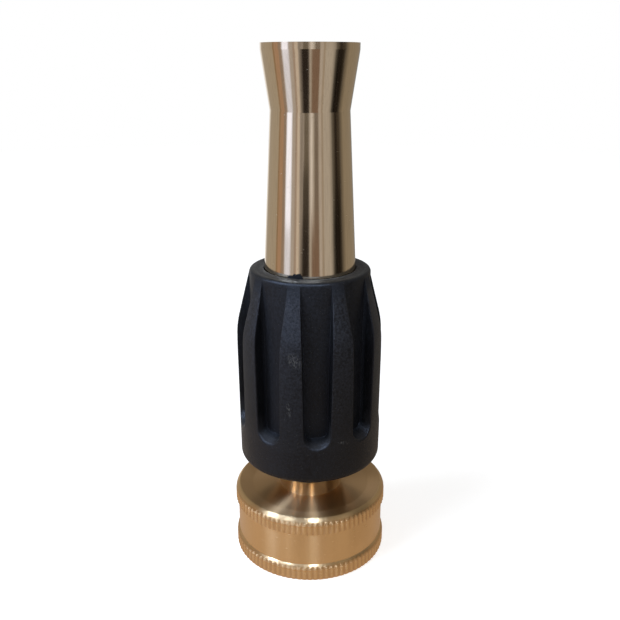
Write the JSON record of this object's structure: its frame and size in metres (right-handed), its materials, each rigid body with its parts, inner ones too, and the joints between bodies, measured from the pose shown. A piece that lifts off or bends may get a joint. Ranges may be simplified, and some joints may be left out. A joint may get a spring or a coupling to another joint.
{
  "type": "hose spray nozzle",
  "caption": "Straight twist hose nozzle: knurled brass hose coupling and stem, fluted rubber grip, tapered brass barrel with a flared outlet that screws along the stem.",
  "frame": {"origin": "centre of the inlet face, which the nozzle stands on", "axes": "+Z along the nozzle from the hose inlet to the outlet"},
  "size_m": [0.0322, 0.0322, 0.104],
  "materials": {
    "stem_brass": "turned and lightly polished",
    "barrel_brass": "polished, with fine turning marks",
    "grip_rubber": "matt, slightly dusty",
    "seal_rubber": "matt",
    "ring_nylon": "matt"
  },
  "bodies": {
    "stem_body": {"stem": "stem_brass", "hose_washer": "seal_rubber", "rear_o_ring": "seal_rubber", "front_o_ring": "seal_rubber", "shutoff_o_ring": "seal_rubber"},
    "ring_body": {"retaining_ring": "ring_nylon"},
    "barrel_body": {"barrel": "barrel_brass", "grip_sleeve": "grip_rubber"}
  },
  "joints": [
    {"name": "barrel_travel", "type": "slide", "parent": "stem_body", "child": "ring_body", "axis": [0, 0, 1], "range_m": [0, 0.006]},
    {"name": "barrel_twist", "type": "hinge", "parent": "ring_body", "child": "barrel_body", "pos_m": [0, 0, 0.03], "axis": [0, 0, 1], "range_deg": [0, 1080]}
  ],
  "couplings": [
    {"joint": "barrel_travel", "follows": "barrel_twist", "m_per_rad": 0.00031831}
  ]
}
